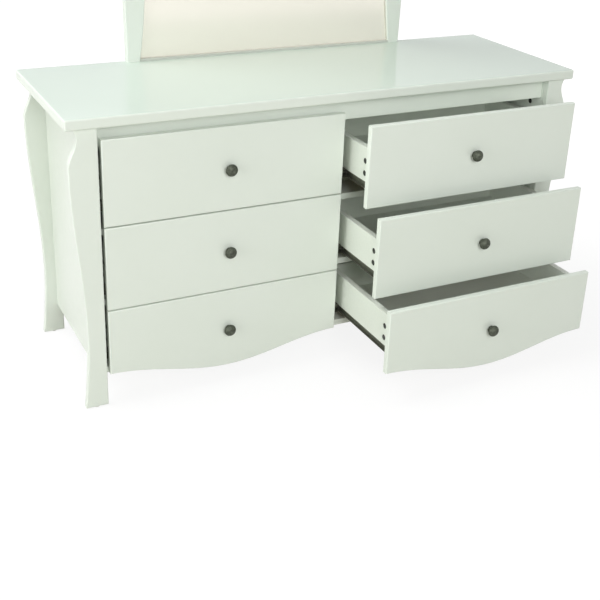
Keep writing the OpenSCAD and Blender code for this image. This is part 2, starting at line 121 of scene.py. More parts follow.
def makeRoom():
    world = bpy.data.worlds.new("paleRoom")
    bpy.context.scene.world = world
    world.use_nodes = True
    tree = world.node_tree
    tree.nodes.clear()
    ambient = tree.nodes.new("ShaderNodeBackground")
    ambient.inputs["Color"].default_value = (*room["ambient"], 1.0)
    ambient.inputs["Strength"].default_value = room["ambientStrength"]
    white = tree.nodes.new("ShaderNodeBackground")
    white.inputs["Color"].default_value = (*room["seen"], 1.0)
    white.inputs["Strength"].default_value = room["seenStrength"]
    choose = tree.nodes.new("ShaderNodeMixShader")
    out = tree.nodes.new("ShaderNodeOutputWorld")
    tree.links.new(seenRays(tree), choose.inputs[0])
    tree.links.new(ambient.outputs[0], choose.inputs[1])
    tree.links.new(white.outputs[0], choose.inputs[2])
    tree.links.new(choose.outputs[0], out.inputs["Surface"])
    for name, lampSet in lamps.items():
        makeLamp(name, lampSet)


# Floor: to the eye nearly white, with the object's soft shadow near it and plain white farther off;
# the light that it throws back on the object is duller and a little warm
floor = {"radius": 30.0, "segments": 96, "roughness": 0.9, "thrown": (0.60, 0.59, 0.53),
         "seen": (0.16, 0.16, 0.16), "glow": (1.0, 1.0, 1.0), "glowNear": 0.86, "glowFar": 1.0,
         "near": 0.8, "far": 2.4}


def floorGlow(tree):
    place = tree.nodes.new("ShaderNodeTexCoord").outputs["Object"]
    away = tree.nodes.new("ShaderNodeVectorMath")
    away.operation = "LENGTH"
    tree.links.new(place, away.inputs[0])
    return rangeOf(tree, away.outputs["Value"], floor["glowNear"], floor["glowFar"], floor["near"],
                   floor["far"])


def makeFloor():
    bm = bmesh.new()
    bmesh.ops.create_circle(bm, cap_ends=True, radius=floor["radius"],
                             segments=floor["segments"])
    mesh = bpy.data.meshes.new("studioFloor")
    bm.to_mesh(mesh)
    bm.free()
    ground = bpy.data.objects.new("studioFloor", mesh)
    bpy.context.scene.collection.objects.link(ground)
    material = bpy.data.materials.new("studioFloor")
    material.use_nodes = True
    tree = material.node_tree
    surface = tree.nodes["Principled BSDF"]
    seen = seenRays(tree)
    tree.links.new(colourBetween(tree, seen, floor["thrown"], floor["seen"]), surface.inputs["Base Color"])
    surface.inputs["Roughness"].default_value = floor["roughness"]
    surface.inputs["Specular IOR Level"].default_value = 0.0
    surface.inputs["Emission Color"].default_value = (*floor["glow"], 1.0)
    glow = tree.nodes.new("ShaderNodeMath")
    glow.operation = "MULTIPLY"
    tree.links.new(floorGlow(tree), glow.inputs[0])
    tree.links.new(seen, glow.inputs[1])
    tree.links.new(glow.outputs[0], surface.inputs["Emission Strength"])
    mesh.materials.append(material)


# Shader helpers. In each look below, gloss is the lowest and the highest roughness
def startMaterial(name):
    material = bpy.data.materials.new(name)
    material.use_nodes = True
    tree = material.node_tree
    place = tree.nodes.new("ShaderNodeTexCoord").outputs["Object"]
    return material, tree, tree.nodes["Principled BSDF"], place


def noiseOf(tree, place, scale, detail, stretch=None, perPiece=0.0):
    if stretch:
        mapping = tree.nodes.new("ShaderNodeMapping")
        mapping.inputs["Scale"].default_value = stretch
        tree.links.new(place, mapping.inputs["Vector"])
        place = mapping.outputs["Vector"]
    noise = tree.nodes.new("ShaderNodeTexNoise")
    noise.inputs["Scale"].default_value = scale
    noise.inputs["Detail"].default_value = detail
    tree.links.new(place, noise.inputs["Vector"])
    if perPiece:
        noise.noise_dimensions = "4D"
        piece = tree.nodes.new("ShaderNodeObjectInfo")
        shift = tree.nodes.new("ShaderNodeMath")
        shift.operation = "MULTIPLY"
        shift.inputs[1].default_value = perPiece
        tree.links.new(piece.outputs["Random"], shift.inputs[0])
        tree.links.new(shift.outputs[0], noise.inputs["W"])
    return noise.outputs["Fac"]


def rangeOf(tree, value, low, high, fromLow=0.3, fromHigh=0.7):
    fit = tree.nodes.new("ShaderNodeMapRange")
    fit.inputs["From Min"].default_value = fromLow
    fit.inputs["From Max"].default_value = fromHigh
    fit.inputs["To Min"].default_value = low
    fit.inputs["To Max"].default_value = high
    tree.links.new(value, fit.inputs["Value"])
    return fit.outputs["Result"]


def colourBetween(tree, amount, first, second):
    mix = tree.nodes.new("ShaderNodeMix")
    mix.data_type = "RGBA"
    tree.links.new(amount, mix.inputs["Factor"])
    for socket, colour in ((mix.inputs[6], first), (mix.inputs[7], second)):
        if isinstance(colour, tuple):
            socket.default_value = (*colour, 1.0)
        else:
            tree.links.new(colour, socket)
    return mix.outputs[2]


def bumpOf(tree, surface, height, strength, distance):
    bump = tree.nodes.new("ShaderNodeBump")
    bump.inputs["Strength"].default_value = strength
    bump.inputs["Distance"].default_value = distance
    tree.links.new(height, bump.inputs["Height"])
    tree.links.new(bump.outputs["Normal"], surface.inputs["Normal"])


def sumOf(tree, first, second, share):
    add = tree.nodes.new("ShaderNodeMath")
    add.operation = "MULTIPLY_ADD"
    add.inputs[1].default_value = share
    tree.links.new(second, add.inputs[0])
    tree.links.new(first, add.inputs[2])
    return add.outputs[0]


# White lacquer sprayed on board: slow cloudiness, a fine mottle, and the spray's orange peel
lacquerLook = {"colour": (0.762, 0.816, 0.747), "thin": (0.732, 0.791, 0.712), "cloudScale": 3.2,
               "mottleScale": 55.0, "mottle": 0.20, "peelScale": 420.0, "peel": 0.05,
               "peelDepth": 0.4 * mm, "spread": (0.45, 0.95), "perPiece": 20.0, "gloss": (0.30, 0.40),
               "coat": 0.15, "coatGloss": 0.12, "specular": 0.5, "tint": (1.0, 1.0, 1.0)}

# Painted shade and reflection: the top's level face is darker and greener than its edges, and its
# reflections are tinted green; it is also glossier
topShadeLook = {**lacquerLook, "colour": (0.660, 0.758, 0.682), "thin": (0.650, 0.747, 0.669), "mottle": 0.08,
           "specular": 0.35, "tint": (0.78, 1.0, 0.84), "gloss": (0.08, 0.10), "coat": 0.05,
           "coatGloss": 0.06, "peelScale": 260.0, "peel": 0.02}
# Painted shade: the sill is greyer, standing for the shadow line at the glass's foot
sillShadeLook = {**lacquerLook, "colour": (0.560, 0.590, 0.535), "thin": (0.525, 0.555, 0.500)}


def makeLacquer(name, look):
    material, tree, surface, place = startMaterial(name)
    cloud = noiseOf(tree, place, look["cloudScale"], detail=3.0, perPiece=look["perPiece"])
    mottle = noiseOf(tree, place, look["mottleScale"], detail=4.0)
    amount = rangeOf(tree, sumOf(tree, cloud, mottle, look["mottle"]), 0.0, 1.0, *look["spread"])
    tree.links.new(colourBetween(tree, amount, look["colour"], look["thin"]), surface.inputs["Base Color"])
    tree.links.new(rangeOf(tree, mottle, *look["gloss"]), surface.inputs["Roughness"])
    surface.inputs["Specular IOR Level"].default_value = look["specular"]
    surface.inputs["Specular Tint"].default_value = (*look["tint"], 1.0)
    surface.inputs["Coat Weight"].default_value = look["coat"]
    surface.inputs["Coat Roughness"].default_value = look["coatGloss"]
    peel = noiseOf(tree, place, look["peelScale"], detail=1.0)
    bumpOf(tree, surface, peel, look["peel"], look["peelDepth"])
    return material


# White melamine foil on the boards inside, with the faint print of a fine wood grain
foilLook = {"colour": (0.775, 0.825, 0.745), "grain": (0.745, 0.795, 0.715), "grainScale": 160.0,
            "stretch": (0.06, 1.0, 1.0), "cloudScale": 2.4, "cloud": 0.6, "spread": (0.55, 1.05),
            "perPiece": 20.0, "gloss": (0.36, 0.46), "bump": 0.04, "bumpDepth": 0.3 * mm}


def makeFoil(name, look):
    material, tree, surface, place = startMaterial(name)
    grain = noiseOf(tree, place, look["grainScale"], detail=4.0, stretch=look["stretch"])
    cloud = noiseOf(tree, place, look["cloudScale"], detail=2.0, perPiece=look["perPiece"])
    amount = rangeOf(tree, sumOf(tree, grain, cloud, look["cloud"]), 0.0, 1.0, *look["spread"])
    tree.links.new(colourBetween(tree, amount, look["colour"], look["grain"]), surface.inputs["Base Color"])
    tree.links.new(rangeOf(tree, grain, *look["gloss"]), surface.inputs["Roughness"])
    bumpOf(tree, surface, grain, look["bump"], look["bumpDepth"])
    return material


# Hardboard: pressed brown fibres, with a fine felt of darker flecks
hardboardLook = {"pale": (0.40, 0.285, 0.170), "dark": (0.25, 0.165, 0.090), "fibreScale": 340.0,
                 "stretch": (1.0, 1.0, 0.35), "cloudScale": 9.0, "cloud": 0.5, "spread": (0.5, 1.0),
                 "gloss": (0.62, 0.8), "bump": 0.25, "bumpDepth": 0.4 * mm}


def makeHardboard(name, look):
    material, tree, surface, place = startMaterial(name)
    fibre = noiseOf(tree, place, look["fibreScale"], detail=6.0, stretch=look["stretch"])
    cloud = noiseOf(tree, place, look["cloudScale"], detail=4.0)
    amount = rangeOf(tree, sumOf(tree, fibre, cloud, look["cloud"]), 0.0, 1.0, *look["spread"])
    tree.links.new(colourBetween(tree, amount, look["pale"], look["dark"]), surface.inputs["Base Color"])
    tree.links.new(rangeOf(tree, cloud, *look["gloss"]), surface.inputs["Roughness"])
    bumpOf(tree, surface, fibre, look["bump"], look["bumpDepth"])
    return material


# Metals: a colour that clouds between two tones, a roughness that follows it, and a fine surface
pewterLook = {"colour": (0.088, 0.100, 0.072), "dark": (0.042, 0.048, 0.034), "cloudScale": 170.0,
              "gloss": (0.50, 0.64), "metallic": 0.45, "bumpScale": 900.0, "bump": 0.12,
              "bumpDepth": 0.2 * mm}
enamelLook = {"colour": (0.125, 0.132, 0.098), "dark": (0.085, 0.090, 0.066), "cloudScale": 60.0,
              "gloss": (0.28, 0.40), "metallic": 0.2, "bumpScale": 700.0, "bump": 0.06,
              "bumpDepth": 0.2 * mm}
zincLook = {"colour": (0.55, 0.56, 0.54), "dark": (0.38, 0.39, 0.37), "cloudScale": 120.0,
            "gloss": (0.28, 0.45), "metallic": 1.0, "bumpScale": 800.0, "bump": 0.08,
            "bumpDepth": 0.2 * mm}
# Painted shade: the cam locks are near black, standing in for the shade in their holes
camHoleShadeLook = {"colour": (0.075, 0.078, 0.070), "dark": (0.030, 0.032, 0.028), "cloudScale": 200.0,
           "gloss": (0.35, 0.55), "metallic": 0.8, "bumpScale": 900.0, "bump": 0.15,
           "bumpDepth": 0.2 * mm}


def makeMetal(name, look):
    material, tree, surface, place = startMaterial(name)
    cloud = noiseOf(tree, place, look["cloudScale"], detail=4.0)
    amount = rangeOf(tree, cloud, 0.0, 1.0)
    tree.links.new(colourBetween(tree, amount, look["colour"], look["dark"]), surface.inputs["Base Color"])
    tree.links.new(rangeOf(tree, cloud, *look["gloss"]), surface.inputs["Roughness"])
    surface.inputs["Metallic"].default_value = look["metallic"]
    fine = noiseOf(tree, place, look["bumpScale"], detail=2.0)
    bumpOf(tree, surface, fine, look["bump"], look["bumpDepth"])
    return material


# Nylon: pale for the glides under the feet; dark for the rollers, as painted shade for the shadow they sit
# in
nylonLook = {"colour": (0.80, 0.80, 0.76), "dark": (0.70, 0.70, 0.655), "cloudScale": 90.0,
             "gloss": (0.36, 0.46), "metallic": 0.0, "bumpScale": 600.0, "bump": 0.04,
             "bumpDepth": 0.2 * mm}
shadedRollerLook = {**nylonLook, "colour": (0.060, 0.063, 0.050), "dark": (0.042, 0.044, 0.035)}

# Painted light: a paler band on the upward faces of the drawer boxes' upper edges, where light catches them
litEdgeLook = {**foilLook, "colour": (0.860, 0.905, 0.830), "grain": (0.840, 0.885, 0.805),
            "stretch": (1.0, 0.06, 1.0), "gloss": (0.34, 0.42), "bump": 0.02}

# Silvered glass: a warm tint with the faintest ripple, mixed with a cream diffuse layer that softens what
# it shows; the warm tint and the cream layer are painted reflection
mirrorLook = {"colour": (0.890, 0.848, 0.770), "deeper": (0.875, 0.833, 0.755),
              "paintedReflection": (0.970, 0.932, 0.850), "paintedReflectionShare": 0.52, "rippleScale": 5.0, "ripple": 0.01,
              "rippleDepth": 0.5 * mm, "gloss": (0.16, 0.20)}


def makeMirrorGlass(name, look):
    material, tree, surface, place = startMaterial(name)
    haze = noiseOf(tree, place, look["rippleScale"], detail=2.0)
    amount = rangeOf(tree, haze, 0.0, 1.0)
    colour = colourBetween(tree, amount, look["colour"], look["deeper"])
    tree.links.new(colour, surface.inputs["Base Color"])
    tree.links.new(rangeOf(tree, haze, *look["gloss"]), surface.inputs["Roughness"])
    surface.inputs["Metallic"].default_value = 1.0
    bumpOf(tree, surface, haze, look["ripple"], look["rippleDepth"])
    # The cream diffuse layer mixed into the glass: painted reflection
    paintedReflection = tree.nodes.new("ShaderNodeBsdfDiffuse")
    paintedReflection.inputs["Color"].default_value = (*look["paintedReflection"], 1.0)
    both = tree.nodes.new("ShaderNodeMixShader")
    both.inputs[0].default_value = look["paintedReflectionShare"]
    tree.links.new(surface.outputs[0], both.inputs[1])
    tree.links.new(paintedReflection.outputs[0], both.inputs[2])
    tree.links.new(both.outputs[0], tree.nodes["Material Output"].inputs["Surface"])
    return material


# Mesh helpers. Points closer than weld or fineWeld are one, and edges sharper than sharp can be eased
limits = {"weld": 0.01 * mm, "fineWeld": 0.005 * mm, "cut": 0.001 * mm, "flat": math.radians(0.1),
          "sharp": math.radians(30.0), "facing": 0.5, "near": 0.05 * mm}


def finishPiece(bm, name, material, body, stoodFor, smoothBelow=35.0, weighted=True):
    mesh = bpy.data.meshes.new(name)
    bm.to_mesh(mesh)
    bm.free()
    for one in material if isinstance(material, tuple) else (material,):
        mesh.materials.append(one)
    mesh.shade_smooth()
    mesh.set_sharp_from_angle(angle=math.radians(smoothBelow))
    piece = bpy.data.objects.new(name, mesh)
    bpy.context.scene.collection.objects.link(piece)
    if weighted:
        even = piece.modifiers.new("evenShading", "WEIGHTED_NORMAL")
        even.keep_sharp = True
        even.weight = 100
    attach(piece, body)
    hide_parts(*stoodFor)


def boardOf(nodeName):
    # The CAD board as one closed mesh with flat faces in place of loose triangles
    bm = bmesh.new()
    bm.from_mesh(nodes[nodeName].data)
    bmesh.ops.remove_doubles(bm, verts=bm.verts, dist=limits["weld"])
    bmesh.ops.dissolve_limit(bm, angle_limit=limits["flat"], verts=bm.verts, edges=bm.edges)
    return bm


def easeEdges(bm, width, steps, wanted):
    # Rounds the sharp outward edges that wanted() picks
    picked = [edge for edge in bm.edges
              if edge.is_manifold and edge.is_convex and edge.calc_face_angle() > limits["sharp"]
              and wanted(edge)]
    bmesh.ops.bevel(bm, geom=picked, offset=width, offset_type="OFFSET", segments=steps, profile=0.5,
                    affect="EDGES", material=-1, clamp_overlap=False)


def everyVertex(test):
    return lambda edge: all(test(vertex.co) for vertex in edge.verts)


def turnedPart(profile, steps):
    # A closed part turned about Z, from radii and heights in millimetres
    bm = bmesh.new()
    line = [bm.verts.new((radius * mm, 0.0, height * mm)) for radius, height in profile]
    edges = [bm.edges.new(pair) for pair in zip(line, line[1:])]
    bmesh.ops.spin(bm, geom=line + edges, cent=(0, 0, 0), axis=(0, 0, 1), angle=math.tau, steps=steps,
                   use_merge=True)
    bmesh.ops.remove_doubles(bm, verts=bm.verts, dist=limits["fineWeld"])
    bmesh.ops.recalc_face_normals(bm, faces=bm.faces)
    return bm


def sinkCross(bm, height, arm, half, depth):
    # Sinks a cross slot into the flat end of a turned part
    def endFaces():
        return [face for face in bm.faces
                if all(abs(vertex.co.z - height) < limits["fineWeld"] for vertex in face.verts)]

    for normal in (Vector((1.0, 0.0, 0.0)), Vector((0.0, 1.0, 0.0))):
        for reach in (-arm, -half, half, arm):
            faces = endFaces()
            edges = list(dict.fromkeys(edge for face in faces for edge in face.edges))
            points = list(dict.fromkeys(vertex for face in faces for vertex in face.verts))
            bmesh.ops.bisect_plane(bm, geom=faces + edges + points, dist=limits["cut"],
                                   plane_co=normal * reach, plane_no=normal)
    picked = []
    for face in endFaces():
        middle = face.calc_center_median()
        short, long = sorted((abs(middle.x), abs(middle.y)))
        if short < half and long < arm:
            picked.append(face)
    made = bmesh.ops.extrude_face_region(bm, geom=picked)
    sunk = [item for item in made["geom"] if isinstance(item, bmesh.types.BMVert)]
    bmesh.ops.translate(bm, vec=(0.0, 0.0, -depth), verts=sunk)


def bentOutline(corners, steps):
    # Right-angled corners given as x, z and radius in millimetres, each rounded by its own radius
    points = []
    for index, (x, z, radius) in enumerate(corners):
        corner = Vector((x, z))
        if not radius:
            points.append(corner)
            continue
        before = (Vector(corners[index - 1][:2]) - corner).normalized() * radius
        after = (Vector(corners[(index + 1) % len(corners)][:2]) - corner).normalized() * radius
        middle = corner + before + after
        for step in range(steps + 1):
            turn = math.radians(90.0) * step / steps
            points.append(middle - after * math.cos(turn) - before * math.sin(turn))
    return points


def rolledPart(corners, length, steps):
    # A rolled section, run along Y for its length in metres
    bm = bmesh.new()
    face = bm.faces.new([bm.verts.new((p.x * mm, 0.0, p.y * mm)) for p in bentOutline(corners, steps)])
    made = bmesh.ops.extrude_face_region(bm, geom=[face])
    moved = [item for item in made["geom"] if isinstance(item, bmesh.types.BMVert)]
    bmesh.ops.translate(bm, vec=(0.0, length, 0.0), verts=moved)
    bmesh.ops.recalc_face_normals(bm, faces=bm.faces)
    return bm


def addPart(bm, part, place, materialIndex=0):
    # Sets a copy of a part down in a piece, in one of the piece's materials
    firstVertex, firstFace = len(bm.verts), len(bm.faces)
    spare = bpy.data.meshes.new("sparePart")
    part.to_mesh(spare)
    bm.from_mesh(spare)
    bpy.data.meshes.remove(spare)
    bm.verts.ensure_lookup_table()
    bm.faces.ensure_lookup_table()
    bmesh.ops.transform(bm, matrix=place, verts=bm.verts[firstVertex:])
    if place.determinant() < 0.0:
        bmesh.ops.reverse_faces(bm, faces=bm.faces[firstFace:])
    for face in bm.faces[firstFace:]:
        face.material_index = materialIndex


# Turns that lay a part turned about Z along +X, out of the front and out of the back
alongX = Matrix.Rotation(math.radians(90.0), 4, "Y")
alongFront = Matrix.Rotation(math.radians(90.0), 4, "X")
alongBack = Matrix.Rotation(math.radians(-90.0), 4, "X")


def besideWall(x, way, y, z):
    # A place on a wall that looks along +X, or along -X where way is -1
    return Matrix.Translation((x, y, z)) @ Matrix.Diagonal((way, 1.0, 1.0, 1.0))


def outBy(distance):
    # Lays a part turned about Z along +X, this many millimetres out
    return Matrix.Translation((distance * mm, 0.0, 0.0)) @ alongX


def bodyOf(nodeName):
    return next(body for body, members in frame["record"]["behaviour"]["bodies"].items()
                if nodeName in members)


def easedBoard(nodeName, material, width, steps, wanted=None):
    bm = boardOf(nodeName)
    easeEdges(bm, width, steps, wanted or (lambda edge: True))
    finishPiece(bm, f"{nodeName}_board", material, bodyOf(nodeName), (nodeName,))


def facedSheet(nodeName, whiteSide):
    # A hardboard sheet with white foil on one face only
    bm = boardOf(nodeName)
    for face in bm.faces:
        face.material_index = 0 if face.normal.dot(whiteSide) > limits["facing"] else 1
    finishPiece(bm, f"{nodeName}_faced", (foil, hardboard), bodyOf(nodeName), (nodeName,),
                weighted=False)


makeCamera()
makeRoom()
makeFloor()
print("camera, light and floor made")

lacquer = makeLacquer("whiteLacquer", lacquerLook)
topShadeLacquer = makeLacquer("topShadeLacquer", topShadeLook)
sillShadeLacquer = makeLacquer("sillShadeLacquer", sillShadeLook)
foil = makeFoil("insideFoil", foilLook)
hardboard = makeHardboard("brownHardboard", hardboardLook)
pewter = makeMetal("darkPewter", pewterLook)
enamel = makeMetal("brownEnamel", enamelLook)
zinc = makeMetal("brightZinc", zincLook)
camHoleShadeZinc = makeMetal("zincCamHoleShade", camHoleShadeLook)
nylon = makeMetal("paleNylon", nylonLook)
shadedRollerNylon = makeMetal("nylonRollerShade", shadedRollerLook)
litEdgeFoil = makeFoil("litEdgeFoil", litEdgeLook)
mirrorGlass = makeMirrorGlass("silveredGlass", mirrorLook)
print("materials made")


# Table top: one slab with rounded edges; its level face has the glossier finish, with painted shade and a
# green painted reflection
top = {"edge": 5.0 * mm, "steps": 6, "level": 0.8}


def makeTableTop():
    low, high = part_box("table_top")
    bm = bmesh.new()
    bmesh.ops.create_cube(bm, size=1.0)
    bmesh.ops.scale(bm, vec=high - low, verts=bm.verts)
    bmesh.ops.translate(bm, vec=(low + high) / 2, verts=bm.verts)
    bmesh.ops.bevel(bm, geom=bm.edges[:], offset=top["edge"], segments=top["steps"], profile=0.5,
                    affect="EDGES", material=-1)
    # Upward faces take the top's painted shade and reflection, the rest the plain lacquer
    for face in bm.faces:
        face.material_index = 0 if face.normal.z > top["level"] else 1
    finishPiece(bm, "table_top_slab", (topShadeLacquer, lacquer), "cabinet", ("table_top",))


# Boards of the cabinet: how far each kind of edge is eased
boards = {"leg": 2.5 * mm, "legSteps": 4, "rail": 0.8 * mm, "panel": 0.6 * mm, "steps": 2}


def makeLeg(nodeName):
    # Eased all round its outline, but not under the table top
    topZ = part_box(nodeName)[1].z

    def wanted(edge):
        a, b = edge.verts[0].co, edge.verts[1].co
        underTop = abs(a.z - topZ) < limits["near"] and abs(b.z - topZ) < limits["near"]
        alongDepth = abs(a.y - b.y) > limits["near"]
        return not underTop and not alongDepth

    bm = boardOf(nodeName)
    easeEdges(bm, boards["leg"], boards["legSteps"], wanted)
    finishPiece(bm, f"{nodeName}_board", lacquer, "cabinet", (nodeName,))


def makeCabinetBoards():
    for nodeName in ("front_left_leg", "front_right_leg", "rear_left_leg", "rear_right_leg"):
        makeLeg(nodeName)
    for nodeName in ("left_side_panel", "right_side_panel"):
        easedBoard(nodeName, lacquer, boards["panel"], boards["steps"])
    for nodeName in ("centre_partition", "bottom_panel", "rear_rail"):
        easedBoard(nodeName, foil, boards["panel"], boards["steps"])
    for nodeName in ("front_rail", "drawer_dividers"):
        easedBoard(nodeName, lacquer, boards["rail"], boards["steps"])
    facedSheet("back_sheets", Vector((0.0, -1.0, 0.0)))


# Drawers: how far their edges are eased, and how near the knob's screw nothing is eased
drawer = {"frontEdge": 3.0 * mm, "frontSteps": 5, "backEdge": 1.0 * mm, "sideEdge": 0.8 * mm, "steps": 2,
          "aroundKnob": 10.0 * mm}


def makeFront(name):
    nodeName = f"{name}_front"
    low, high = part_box(nodeName)
    knobLow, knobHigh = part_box(f"{name}_knob")
    middle = (knobLow + knobHigh) / 2
    bm = boardOf(nodeName)

    def clearOfKnob(point):
        return math.hypot(point.x - middle.x, point.z - middle.z) > drawer["aroundKnob"]

    easeEdges(bm, drawer["frontEdge"], drawer["frontSteps"],
              everyVertex(lambda p: abs(p.y - low.y) < limits["near"] and clearOfKnob(p)))
    topZ = max(vertex.co.z for vertex in bm.verts if abs(vertex.co.y - high.y) < limits["near"])

    def onRim(p):
        atEnd = min(abs(p.x - low.x), abs(p.x - high.x)) < limits["near"]
        return abs(p.y - high.y) < limits["near"] and (atEnd or abs(p.z - topZ) < limits["near"])

    easeEdges(bm, drawer["backEdge"], drawer["steps"], everyVertex(onRim))
    finishPiece(bm, f"{name}_front_board", lacquer, f"{name}_drawer", (nodeName,))


def makeDrawerBox(name):
    for nodeName in (f"{name}_sides", f"{name}_back"):
        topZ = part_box(nodeName)[1].z
        bm = boardOf(nodeName)
        easeEdges(bm, drawer["sideEdge"], drawer["steps"],
                  everyVertex(lambda p: abs(p.z - topZ) < limits["near"]))
        # Upward faces at the top take the paler band: painted light
        for face in bm.faces:
            nearTop = face.calc_center_median().z > topZ - 2 * drawer["sideEdge"]
            if face.normal.z > limits["facing"] and nearTop:
                face.material_index = 1
        finishPiece(bm, f"{nodeName}_board", (foil, litEdgeFoil), f"{name}_drawer",
                    (nodeName,))
    facedSheet(f"{name}_bottom", Vector((0.0, 0.0, 1.0)))


# Knob, turned about its own axis; radius and height in millimetres from the drawer front outwards
knob = {"reach": 24.0, "steps": 64, "smoothBelow": 60.0,
        "profile": ((0.0, 0.0), (8.5, 0.0), (8.5, 1.5), (8.2, 2.2), (7.4, 2.7), (6.8, 3.9), (6.5, 5.4),
                    (6.5, 6.6), (6.9, 7.9), (7.9, 9.0), (9.6, 9.9), (11.7, 10.5), (13.5, 10.9),
                    (14.5, 11.4), (14.95, 12.3), (15.0, 13.4), (14.85, 14.7), (14.4, 16.1), (13.7, 17.4),
                    (13.0, 18.4), (12.5, 18.8), (12.1, 18.85), (11.8, 19.1), (11.2, 20.1), (10.1, 21.3),
                    (8.7, 22.4), (7.1, 23.3), (5.6, 23.8), (4.5, 24.0), (3.8, 23.9), (3.2, 23.5),
                    (2.4, 23.2), (1.2, 23.05), (0.0, 23.0))}


def makeKnob(name):
    low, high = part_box(f"{name}_knob")
    seat = low.y + knob["reach"] * mm
    bm = bmesh.new()
    addPart(bm, turnedPart(knob["profile"], knob["steps"]),
            Matrix.Translation(((low.x + high.x) / 2, seat, (low.z + high.z) / 2)) @ alongFront)
    finishPiece(bm, f"{name}_turned_knob", pewter, f"{name}_drawer", (f"{name}_knob",),
                smoothBelow=knob["smoothBelow"], weighted=False)


# Drawer slides. Sections in millimetres: x from the drawer side's outer face inwards, or from the
# cabinet's wall outwards, and z from the drawer side's lower edge
slide = {"channel": ((0.0, -18.0, 0.0), (8.2, -18.0, 1.8), (8.2, 0.0, 0.0), (0.0, 0.0, 0.0),
                     (0.0, -1.2, 0.0), (7.0, -1.2, 0.6), (7.0, -16.8, 0.6), (0.0, -16.8, 0.0)),
         "track": ((0.0, -19.5, 1.8), (20.0, -19.5, 0.0), (20.0, -18.3, 0.0), (1.2, -18.3, 0.6),
                   (1.2, 0.3, 0.6), (12.0, 0.3, 0.0), (12.0, 1.5, 0.0), (0.0, 1.5, 1.8)),
         "rearRoller": ((0.0, 0.0), (8.2, 0.0), (8.9, 0.7), (8.9, 6.3), (8.2, 7.0), (4.4, 7.0), (4.4, 6.0),
                        (0.0, 6.0)),
         "rearRollerOut": -8.5, "rearRollerDrop": 9.1,
         "rearAxle": ((0.0, 0.0), (3.4, 0.0), (3.4, 1.0), (2.0, 1.6), (2.0, 12.6), (0.0, 12.6)),
         "rearAxleOut": -5.0,
         "frontRoller": ((0.0, 0.0), (6.8, 0.0), (7.4, 0.6), (7.4, 5.3), (6.8, 5.9), (3.8, 5.9), (3.8, 5.0),
                         (0.0, 5.0)),
         "frontRollerOut": 12.5, "frontRollerDrop": 9.0,
         "frontAxle": ((0.0, 0.0), (2.2, 0.0), (2.2, 17.4), (3.0, 17.6), (2.8, 18.4), (1.6, 18.8),
                       (0.0, 18.9)),
         "rollerInset": 10.0, "rollerSteps": 48,
         "screw": ((0.0, 0.0), (3.3, 0.0), (3.1, 0.5), (2.3, 1.0), (0.0, 1.0)),
         "screwPlaces": (38.0, 166.0, 294.0), "screwOut": 1.1, "screwDrop": 9.0, "smallSteps": 24,
         "bendSteps": 4}

# Cam locks: turned discs with a cross slot, given as its arm, half its width and its depth
cam = {"drawerSink": 0.5, "drawerDepth": 9.0, "panelDepth": 12.0, "cross": (4.4, 0.9, 2.2),
       "profile": ((0.0, 0.0), (7.3, 0.0), (7.3, 0.98), (7.0, 1.0), (0.0, 1.0)),
       "places": ((37.0, 20.0), (37.0, 52.0)), "radius": 7.3, "panelRise": 111.0, "steps": 40}


def makeSlides(name):
    # The drawer's two channels, each with the roller on its rear end
    low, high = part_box(f"{name}_sides")
    channel = rolledPart(slide["channel"], high.y - low.y, slide["bendSteps"])
    roller = turnedPart(slide["rearRoller"], slide["rollerSteps"])
    axle = turnedPart(slide["rearAxle"], slide["smallSteps"])
    bm = bmesh.new()
    for x, way in ((low.x, 1.0), (high.x, -1.0)):
        addPart(bm, channel, besideWall(x, way, low.y, low.z))
        centre = besideWall(x, way, high.y - slide["rollerInset"] * mm,
                            low.z - slide["rearRollerDrop"] * mm)
        addPart(bm, roller, centre @ outBy(slide["rearRollerOut"]), 1)
        addPart(bm, axle, centre @ outBy(slide["rearAxleOut"]))
    finishPiece(bm, f"{name}_slides", (enamel, shadedRollerNylon), f"{name}_drawer",
                (f"{name}_runners",))


def makeTracks(bay):
    # The cabinet's six tracks in one bay, each with the roller at its front end
    nodeName = f"{bay}_cabinet_runners"
    low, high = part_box(nodeName)
    track = rolledPart(slide["track"], high.y - low.y, slide["bendSteps"])
    roller = turnedPart(slide["frontRoller"], slide["rollerSteps"])
    axle = turnedPart(slide["frontAxle"], slide["smallSteps"])
    screw = turnedPart(slide["screw"], slide["smallSteps"])
    bm = bmesh.new()
    for row in rows:
        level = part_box(f"{bay}_{row}_sides")[0].z
        for x, way in ((low.x, 1.0), (high.x, -1.0)):
            addPart(bm, track, besideWall(x, way, low.y, level))
            centre = besideWall(x, way, low.y + slide["rollerInset"] * mm,
                                level - slide["frontRollerDrop"] * mm)
            addPart(bm, roller, centre @ outBy(slide["frontRollerOut"]), 1)
            addPart(bm, axle, centre @ alongX)
            for place in slide["screwPlaces"]:
                spot = besideWall(x, way, low.y + place * mm, level - slide["screwDrop"] * mm)
                addPart(bm, screw, spot @ outBy(slide["screwOut"]))
    finishPiece(bm, f"{bay}_tracks", (enamel, shadedRollerNylon), "cabinet", (nodeName,))


def camPart(depth):
    profile = [(radius, height * depth) for radius, height in cam["profile"]]
    part = turnedPart(profile, cam["steps"])
    arm, half, sink = cam["cross"]
    sinkCross(part, depth * mm, arm * mm, half * mm, sink * mm)
    return part


